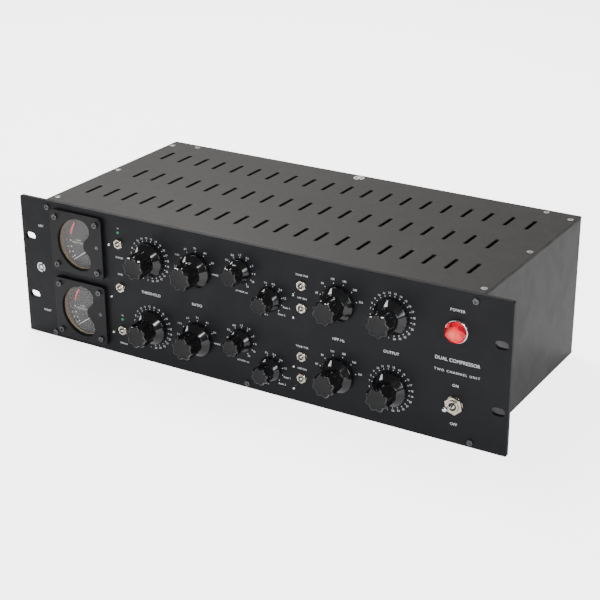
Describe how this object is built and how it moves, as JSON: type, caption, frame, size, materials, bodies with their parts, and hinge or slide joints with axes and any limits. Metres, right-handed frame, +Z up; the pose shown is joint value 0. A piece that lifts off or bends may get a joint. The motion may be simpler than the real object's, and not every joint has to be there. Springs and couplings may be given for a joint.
{
  "type": "rack compressor",
  "caption": "Two-channel audio compressor for a 19-inch rack, with fluted knobs, toggle switches, moving-needle meters, a red power lamp and a slotted steel case.",
  "frame": {"origin": "middle of the footprint, on the plane of the feet and of the front panel's lower edge", "axes": "+X to the right as seen from the front, +Y towards the rear, +Z up; the front panel faces -Y"},
  "size_m": [0.4826, 0.231, 0.1325],
  "materials": {
    "panel_black": "matt black anodised plate with white engraved scales",
    "sheet_black": "satin charcoal powder coat",
    "rubber": "matt",
    "meter_plastic": "fine moulded grain",
    "meter_glass": "clear",
    "meter_dial": "dark grey-brown printed card, lit from its edge",
    "meter_needle": "off-white paint",
    "knob_black": "glossy moulded black",
    "nickel": "nickel plate",
    "chrome": "polished",
    "jewel_red": "faceted, lit red",
    "connector_black": "moulded black",
    "circuit_board": "green solder mask",
    "transformer": "wound wire under clear tape"
  },
  "bodies": {
    "chassis": {"front_panel": "panel_black", "top_cover": "sheet_black", "bottom_cover": "sheet_black", "left_side_panel": "sheet_black", "right_side_panel": "sheet_black", "rear_panel": "sheet_black", "front_left_foot": "rubber", "front_right_foot": "rubber", "rear_left_foot": "rubber", "rear_right_foot": "rubber", "left_meter_bezel": "meter_plastic", "left_meter_case": "meter_plastic", "left_meter_window": "meter_glass", "left_meter_dial": "meter_dial", "left_control_board": "circuit_board", "right_meter_bezel": "meter_plastic", "right_meter_case": "meter_plastic", "right_meter_window": "meter_glass", "right_meter_dial": "meter_dial", "right_control_board": "circuit_board", "left_bypass_switch_body": "nickel", "link_switch_body": "nickel", "right_bypass_switch_body": "nickel", "power_switch_body": "nickel", "left_tone_switch_body": "nickel", "left_filter_switch_body": "nickel", "right_tone_switch_body": "nickel", "right_filter_switch_body": "nickel", "lamp_bezel": "chrome", "lamp_jewel": "jewel_red", "left_input_socket": "connector_black", "left_output_socket": "connector_black", "right_input_socket": "connector_black", "right_output_socket": "connector_black", "mains_inlet": "connector_black", "mains_transformer": "transformer", "power_board": "circuit_board", "audio_board": "circuit_board"},
    "left_meter_needle": {"left_meter_needle": "meter_needle"},
    "left_threshold_knob": {"left_threshold_knob": "knob_black"},
    "left_ratio_knob": {"left_ratio_knob": "knob_black"},
    "left_attack_knob": {"left_attack_knob": "knob_black"},
    "left_release_knob": {"left_release_knob": "knob_black"},
    "left_filter_knob": {"left_filter_knob": "knob_black"},
    "left_output_knob": {"left_output_knob": "knob_black"},
    "right_meter_needle": {"right_meter_needle": "meter_needle"},
    "right_threshold_knob": {"right_threshold_knob": "knob_black"},
    "right_ratio_knob": {"right_ratio_knob": "knob_black"},
    "right_attack_knob": {"right_attack_knob": "knob_black"},
    "right_release_knob": {"right_release_knob": "knob_black"},
    "right_filter_knob": {"right_filter_knob": "knob_black"},
    "right_output_knob": {"right_output_knob": "knob_black"},
    "left_bypass_switch_lever": {"left_bypass_switch_lever": "chrome"},
    "link_switch_lever": {"link_switch_lever": "chrome"},
    "right_bypass_switch_lever": {"right_bypass_switch_lever": "chrome"},
    "power_switch_lever": {"power_switch_lever": "chrome"},
    "left_tone_switch_lever": {"left_tone_switch_lever": "chrome"},
    "left_filter_switch_lever": {"left_filter_switch_lever": "chrome"},
    "right_tone_switch_lever": {"right_tone_switch_lever": "chrome"},
    "right_filter_switch_lever": {"right_filter_switch_lever": "chrome"}
  },
  "joints": [
    {"name": "left_meter_swing", "type": "hinge", "parent": "chassis", "child": "left_meter_needle", "pos_m": [-0.1598, -0.0905, 0.09825], "axis": [0, 1, 0], "range_deg": [0, 72]},
    {"name": "left_threshold_turn", "type": "hinge", "parent": "chassis", "child": "left_threshold_knob", "pos_m": [-0.099, -0.0905, 0.09825], "axis": [0, 1, 0], "range_deg": [-135, 210]},
    {"name": "left_ratio_turn", "type": "hinge", "parent": "chassis", "child": "left_ratio_knob", "pos_m": [-0.0505, -0.0905, 0.09825], "axis": [0, 1, 0], "range_deg": [-60, 120]},
    {"name": "left_attack_turn", "type": "hinge", "parent": "chassis", "child": "left_attack_knob", "pos_m": [-0.0053, -0.0905, 0.10715], "axis": [0, 1, 0], "range_deg": [-60, 180]},
    {"name": "left_release_turn", "type": "hinge", "parent": "chassis", "child": "left_release_knob", "pos_m": [0.0236, -0.0905, 0.08795], "axis": [0, 1, 0], "range_deg": [0, 150]},
    {"name": "left_filter_turn", "type": "hinge", "parent": "chassis", "child": "left_filter_knob", "pos_m": [0.089, -0.0905, 0.09825], "axis": [0, 1, 0], "range_deg": [-60, 90]},
    {"name": "left_output_turn", "type": "hinge", "parent": "chassis", "child": "left_output_knob", "pos_m": [0.138, -0.0905, 0.09825], "axis": [0, 1, 0], "range_deg": [-165, 180]},
    {"name": "right_meter_swing", "type": "hinge", "parent": "chassis", "child": "right_meter_needle", "pos_m": [-0.1598, -0.0905, 0.03425], "axis": [0, 1, 0], "range_deg": [0, 72]},
    {"name": "right_threshold_turn", "type": "hinge", "parent": "chassis", "child": "right_threshold_knob", "pos_m": [-0.099, -0.0905, 0.03425], "axis": [0, 1, 0], "range_deg": [-135, 210]},
    {"name": "right_ratio_turn", "type": "hinge", "parent": "chassis", "child": "right_ratio_knob", "pos_m": [-0.0505, -0.0905, 0.03425], "axis": [0, 1, 0], "range_deg": [-60, 120]},
    {"name": "right_attack_turn", "type": "hinge", "parent": "chassis", "child": "right_attack_knob", "pos_m": [-0.0053, -0.0905, 0.04315], "axis": [0, 1, 0], "range_deg": [-60, 180]},
    {"name": "right_release_turn", "type": "hinge", "parent": "chassis", "child": "right_release_knob", "pos_m": [0.0236, -0.0905, 0.02395], "axis": [0, 1, 0], "range_deg": [0, 150]},
    {"name": "right_filter_turn", "type": "hinge", "parent": "chassis", "child": "right_filter_knob", "pos_m": [0.089, -0.0905, 0.03425], "axis": [0, 1, 0], "range_deg": [-60, 90]},
    {"name": "right_output_turn", "type": "hinge", "parent": "chassis", "child": "right_output_knob", "pos_m": [0.138, -0.0905, 0.03425], "axis": [0, 1, 0], "range_deg": [-150, 195]},
    {"name": "left_bypass_switch_throw", "type": "hinge", "parent": "chassis", "child": "left_bypass_switch_lever", "pos_m": [-0.1318, -0.0921, 0.1067], "axis": [1, 0, 0], "range_deg": [0, 34]},
    {"name": "link_switch_throw", "type": "hinge", "parent": "chassis", "child": "link_switch_lever", "pos_m": [-0.1318, -0.0921, 0.06545], "axis": [-1, 0, 0], "range_deg": [0, 34]},
    {"name": "right_bypass_switch_throw", "type": "hinge", "parent": "chassis", "child": "right_bypass_switch_lever", "pos_m": [-0.1318, -0.0921, 0.0242], "axis": [1, 0, 0], "range_deg": [0, 34]},
    {"name": "power_switch_throw", "type": "hinge", "parent": "chassis", "child": "power_switch_lever", "pos_m": [0.195, -0.0931, 0.03425], "axis": [1, 0, 0], "range_deg": [0, 30]},
    {"name": "left_tone_switch_throw", "type": "hinge", "parent": "chassis", "child": "left_tone_switch_lever", "pos_m": [0.0547, -0.0921, 0.10695], "axis": [-1, 0, 0], "range_deg": [0, 34]},
    {"name": "left_filter_switch_throw", "type": "hinge", "parent": "chassis", "child": "left_filter_switch_lever", "pos_m": [0.0547, -0.0921, 0.08695], "axis": [-1, 0, 0], "range_deg": [0, 34]},
    {"name": "right_tone_switch_throw", "type": "hinge", "parent": "chassis", "child": "right_tone_switch_lever", "pos_m": [0.0547, -0.0921, 0.04295], "axis": [-1, 0, 0], "range_deg": [0, 34]},
    {"name": "right_filter_switch_throw", "type": "hinge", "parent": "chassis", "child": "right_filter_switch_lever", "pos_m": [0.0547, -0.0921, 0.02295], "axis": [-1, 0, 0], "range_deg": [0, 34]}
  ]
}
